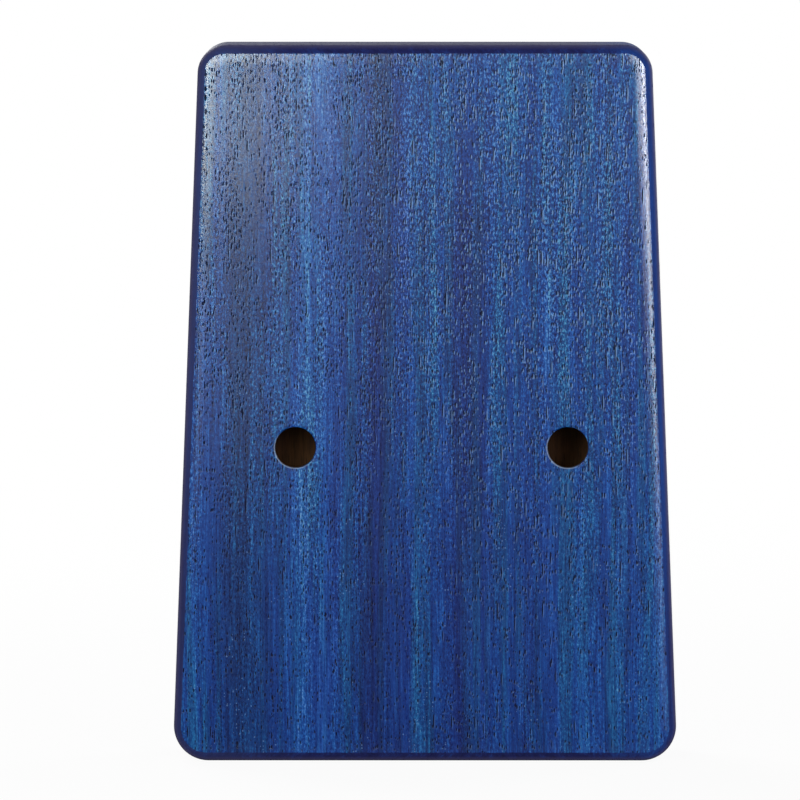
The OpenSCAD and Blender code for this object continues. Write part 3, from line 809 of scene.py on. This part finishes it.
print("bar height above the soundboard", round(BAR_Z - BODY_DEPTH, 3), "mm")

# %% [markdown]
# ## Screws
# Four pan-headed screws pull the bar down. A screw is turned, too, so its points are a radius and a
# height for each step along its profile and each angle: the head is a low dome, the cross recess is
# pressed into it as a smooth dent, and the thread is a ridge whose phase grows with the angle.

# %% Bar screws
HEAD_RADIUS, HEAD_HEIGHT, HEAD_RIM, HEAD_BREAK = 2.0, 1.5, 0.55, 0.08
RECESS_DEPTH, RECESS_TURN = 0.75, 0.4
SHANK_RADIUS, CORE_RADIUS, THREAD_PITCH, POINT_LENGTH, SCREW_BITE = 1.0, 0.80, 0.8, 2.0, 8.0
SHANK_LENGTH = SEAT_Z - (BODY_DEPTH - BOARD_THICKNESS - SCREW_BITE)


def smooth_step(value, low, high):
    """3 t^2 - 2 t^3, with t from 0 at low to 1 at high."""
    t = np.clip((value - low) / (high - low), 0, 1)
    return t * t * (3 - 2 * t)


def cross_arm(across, along):
    """1 in one arm of the cross recess, falling to 0 over its walls."""
    return (1 - smooth_step(np.abs(across), 0.27, 0.40)) * (1 - smooth_step(np.abs(along), 0.95, 1.30))


over = np.linspace(0, math.pi / 2, 34)[:, None]
dome_r, dome_z = HEAD_RADIUS * np.sin(over), HEAD_RIM + (HEAD_HEIGHT - HEAD_RIM) * np.cos(over) ** 0.9
dx, dy = dome_r * np.cos(turn + RECESS_TURN), dome_r * np.sin(turn + RECESS_TURN)
dent = RECESS_DEPTH * np.maximum(cross_arm(dx, dy), cross_arm(dy, dx))
rim_r, rim_z = np.array([[HEAD_RADIUS], [HEAD_RADIUS - HEAD_BREAK]]), np.array([[HEAD_BREAK], [0.0]])
shank_z = np.linspace(0, -SHANK_LENGTH, 130)[:, None]
taper = np.clip((shank_z + SHANK_LENGTH) / POINT_LENGTH, 0.0, 1.0)
ridge = 0.5 + 0.5 * np.cos(2 * math.pi * shank_z / THREAD_PITCH - turn)
ridge = (SHANK_RADIUS - CORE_RADIUS) * ridge * smooth_step(-shank_z, 2.0, 3.0)
screw_r = np.concatenate([dome_r + 0 * turn, rim_r + 0 * turn, taper * (CORE_RADIUS + ridge)])
screw_z = np.concatenate([dome_z - dent, rim_z + 0 * turn, shank_z + 0 * turn])
points = stand_up(SCREW_X + screw_r * np.cos(turn), BAR_Y + screw_r * np.sin(turn), SEAT_Z + screw_z)
rows = len(screw_r)
faces = sum((grid_faces(rows, AROUND, k * rows * AROUND) for k in range(len(SCREW_X))), [])
screws = make_piece("four_bar_screws", points, faces, screw_steel)
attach(screws, "box")
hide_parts("bar_screws")

# %% [markdown]
# ## Tines
# Each tine is a strip of spring steel. From behind the rear saddle it runs straight, bends in a
# shallow arc under the bar, runs straight over the front saddle and turns up a little at its tip. Its
# length sets its pitch, as a cantilever's does: the pitch falls with the square of the length. The
# strip's section is a rectangle with eased edges, carried along that line and narrowed at the tip.

# %% Path of a tine
TINE_HALF, TINE_TAIL, TIP_LENGTH, TIP_CURL, TIP_CORNER = 2.0, 11.0, 6.0, math.radians(10.0), 1.5
TIP_RADIUS = TIP_LENGTH / TIP_CURL
CLAMP_CENTRE = np.array([BAR_Y, CLAMP_CENTRE_Z])
SCALE, MIDDLE_C = [0, 2, 4, 5, 7, 9, 11], 261.63
CANTILEVER_FACTOR, WAVE_SPEED = 0.16154, 5.048e6


def speaking_length(n):
    """Length that sounds the n-th note of the scale: sqrt(factor * wave speed * thickness / pitch)."""
    pitch = MIDDLE_C * 2 ** ((12 * (n // 7) + SCALE[n % 7]) / 12)
    return math.sqrt(CANTILEVER_FACTOR * WAVE_SPEED * TINE_THICKNESS / pitch)


def tine_up(slope):
    """Unit vector (y, z) out of the top of a tine where it has this slope."""
    return np.stack([np.sin(slope), np.cos(slope)], axis=-1)


def tine_way(slope):
    """Unit vector (y, z) along a tine, towards its tip."""
    return np.stack([-np.cos(slope), np.sin(slope)], axis=-1)


def tine_line(length):
    """Points (y, z) and slopes down the middle of a tine, and how far each is from the tip."""
    bend = np.linspace(-TINE_RISE, TINE_RISE, 13)
    arc = CLAMP_CENTRE - CLAMP_RADIUS * tine_up(bend)
    back_end = [TINE_TAIL, TINE_TAIL - 0.06, TINE_TAIL - 0.2]
    tail_run = np.concatenate([back_end, np.linspace(TINE_TAIL, 0, 5)[1:-1]])
    tail = arc[0] - tail_run[:, None] * tine_way(-TINE_RISE)
    leg_run = np.linspace(0, length - TIP_LENGTH, 40)[1:]
    leg = arc[-1] + leg_run[:, None] * tine_way(TINE_RISE)
    corner_run = TIP_CORNER * (1 - np.sin(np.linspace(0, math.pi / 2, 10)))
    left = np.concatenate([np.linspace(TIP_LENGTH, TIP_CORNER, 9)[1:-1], corner_run])
    slope = TINE_RISE + TIP_CURL * (1 - left / TIP_LENGTH)
    tip = leg[-1] + TIP_RADIUS * tine_up(TINE_RISE) - TIP_RADIUS * tine_up(slope)
    slopes = np.concatenate([np.full(len(tail), -TINE_RISE), bend, np.full(len(leg), TINE_RISE), slope])
    to_tip = np.concatenate([np.full(len(tail) + len(bend) + len(leg), TIP_LENGTH), left])
    return np.concatenate([tail, arc, leg, tip]), slopes, to_tip


print("longest tine", round(speaking_length(0), 1), "mm")

# %% Seventeen tines
NOTE_NAMES, LOWEST_OCTAVE, TINE_COUNT = "cdefgab", 4, 17
EASE, END_BREAK, CORNER_STEPS = 0.22, 0.15, 5
BENT_SHARE = 0.85  # the share of its length over which a plucked tine bends
quarter = np.linspace(0, math.pi / 2, CORNER_STEPS)
corner_arc = direction(np.arange(4)[:, None] * math.pi / 2 + quarter).reshape(-1, 2)
corner_sign = np.repeat([(1, 1), (-1, 1), (-1, -1), (1, -1)], CORNER_STEPS, axis=0)


def tine(n):
    """Strip whose section is (half size - EASE) * corner sign + EASE * arc, across and through it."""
    length = speaking_length(n)
    line, slope, to_tip = tine_line(length)
    past = np.clip(TIP_CORNER - to_tip, 0, None)
    half_across = TINE_HALF - TIP_CORNER + np.sqrt(np.maximum(TIP_CORNER**2 - past**2, 0))
    half_size = np.column_stack([half_across, np.full(len(line), TINE_THICKNESS / 2)])
    half_size[[0, -1]] -= END_BREAK
    section = (half_size[:, None] - EASE) * corner_sign + EASE * corner_arc
    x = (n // 2 if n % 2 == 0 else -(n + 1) // 2) * TINE_PITCH
    place = line[:, None] + section[..., 1:] * tine_up(slope)[:, None]
    points = stand_up(x + section[..., 0], place[..., 0], place[..., 1])
    note = NOTE_NAMES[n % 7] + str(LOWEST_OCTAVE + n // 7)
    piece = make_piece("steel_tine_" + note, points, capped_faces(*section.shape[:2]), spring_steel)
    front = CLAMP_CENTRE - CLAMP_RADIUS * tine_up(TINE_RISE)
    free = front + BENT_SHARE * length * tine_way(TINE_RISE)
    start, end = (stand_up(x, *spot).tolist() for spot in (front, free))
    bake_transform(piece)
    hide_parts("tine_" + note)
    return length


lengths = [tine(n) for n in range(TINE_COUNT)]
print("tines from", round(min(lengths), 1), "to", round(max(lengths), 1), "mm")

# %% [markdown]
# ## Studio
# The photograph is a product shot: the box stands on its tail on a white sweep and is seen from
# straight behind, a little above. A long lens gives its flat perspective. The white is what the camera
# and the steel see of the surroundings, and the lamps stay at a plain level. Two tinted softboxes on
# the left give a pale sheen that fades downwards, and narrow strips on both sides give the bright
# lines along the arris of the long edges.

# %% Camera
CAMERA_FROM_BACK, CAMERA_HEIGHT = 2.2, 0.239
FRAME_WIDTH, SENSOR = 0.2060, 36.0
aim = Vector((-0.00645, -BODY_DEPTH / 2 * MM, 0.09355))
camera_data = bpy.data.cameras.new("camera")
camera = bpy.data.objects.new("camera", camera_data)
bpy.context.scene.collection.objects.link(camera)
camera.location = (0.0, -BODY_DEPTH / 2 * MM - CAMERA_FROM_BACK, CAMERA_HEIGHT)
camera.rotation_euler = (aim - camera.location).to_track_quat("-Z", "Y").to_euler()
camera_data.sensor_width = SENSOR
camera_data.lens = SENSOR * (aim - camera.location).length / FRAME_WIDTH
camera_data.clip_end = 50.0
bpy.context.scene.camera = camera
print("lens", round(camera_data.lens, 1), "mm")

# %% Floor and surroundings
def white_share(g, beyond):
    """1 for camera rays; for mirror and glass rays the value `beyond`; 0 for the light on things."""
    path = g.add("LightPath", {}).node.outputs
    mirrored = g.most(path["Is Glossy Ray"], path["Is Transmission Ray"])
    return g.most(path["Is Camera Ray"], g.times(mirrored, beyond)), mirrored


AMBIENT, ROOM, FLOOR_HALF = 0.20, 0.06, 60.0
world = bpy.data.worlds.new("studio")
bpy.context.scene.world = world
g = Graph(world)
way = g.add("SeparateXYZ", {0: g.add("TexCoord", {}, out=0)}).node.outputs
lift = g.step(g.math("ABSOLUTE", way[2]), 0.03, 0.45, 0.10, 1.0)
share, mirrored = white_share(g, g.most(g.times(lift, g.step(way[1], -0.35, 0.45)), ROOM))
ambient = g.times(g.minus(1.0, mirrored), AMBIENT)
glow = world.node_tree.nodes["Background"]
glow.inputs["Color"].default_value = (1.0, 1.0, 1.0, 1.0)
g.put(glow.inputs["Strength"], g.most(share, ambient))

paper = bpy.data.materials.new("white_sweep")
g = Graph(paper)
g.finish(Base_Color=(0.82, 0.82, 0.82, 1.0), Roughness=0.9)
_, _, y, _ = g.millimetres()
share, mirrored = white_share(g, 1.0)
shaded = g.step(g.math("ABSOLUTE", y), 900.0, 250.0, 0.0, 0.06)
share = g.math("SUBTRACT", share, g.times(g.minus(1.0, mirrored), shaded), clamp=True)
strength = g.most(g.step(y, -100.0, 300.0, ROOM, 1.0), g.minus(1.0, mirrored))
lit = g.tree.nodes["Principled BSDF"].outputs[0]
both = g.add("MixShader", {0: share, 1: lit, 2: g.add("Emission", {"Strength": strength})})
g.put(g.tree.nodes["Material Output"].inputs["Surface"], both)
corners = np.array([(-1, -1, 0), (1, -1, 0), (1, 1, 0), (-1, 1, 0)]) * FLOOR_HALF
floor_mesh = bpy.data.meshes.new("floor")
floor_mesh.from_pydata(corners.tolist(), [], [[0, 1, 2, 3]])
floor_mesh.materials.append(paper)
floor = bpy.data.objects.new("floor", floor_mesh)
bpy.context.scene.collection.objects.link(floor)

# %% Lamps
def softbox(name, place, target, size, power, colour=(1.0, 1.0, 1.0)):
    """A rectangular lamp of the given size in metres that faces a target."""
    data = bpy.data.lights.new(name, "AREA")
    data.shape, data.size, data.size_y, data.energy = "RECTANGLE", size[0], size[1], power
    data.color = colour
    lamp = bpy.data.objects.new(name, data)
    lamp.location = place
    lamp.rotation_euler = (Vector(target) - Vector(place)).to_track_quat("-Z", "Y").to_euler()
    lamp.visible_camera = False
    bpy.context.scene.collection.objects.link(lamp)


WINDOW = (0.95, 1.0, 0.88)
softbox("upper_left_softbox", (-0.121, -0.54, 0.188), (-0.02, 0.0, 0.13), (0.15, 0.124), 1.03, WINDOW)
softbox("left_softbox", (-0.121, -0.54, 0.080), (-0.02, 0.0, 0.06), (0.15, 0.08), 0.09, WINDOW)
softbox("left_strip", (-0.47, -1.20, 0.20), (-0.05, 0.0, 0.13), (0.05, 0.16), 1.3, WINDOW)
softbox("right_panel", (0.29, -1.20, 0.24), (0.05, 0.0, 0.12), (0.24, 0.30), 3.2)
softbox("right_strip", (0.47, -1.20, 0.25), (0.05, 0.0, 0.12), (0.08, 0.24), 3.7)
softbox("low_right_strip", (0.47, -1.20, 0.085), (0.05, 0.0, 0.08), (0.08, 0.15), 0.8)
softbox("front_softbox", (-0.5, 0.9, 0.75), (0.0, 0.0, 0.1), (0.6, 0.6), 9.0)
softbox("front_fill", (0.7, 0.7, 0.35), (0.0, 0.0, 0.1), (0.4, 0.6), 4.0)
bpy.context.scene.view_settings.view_transform = "Standard"
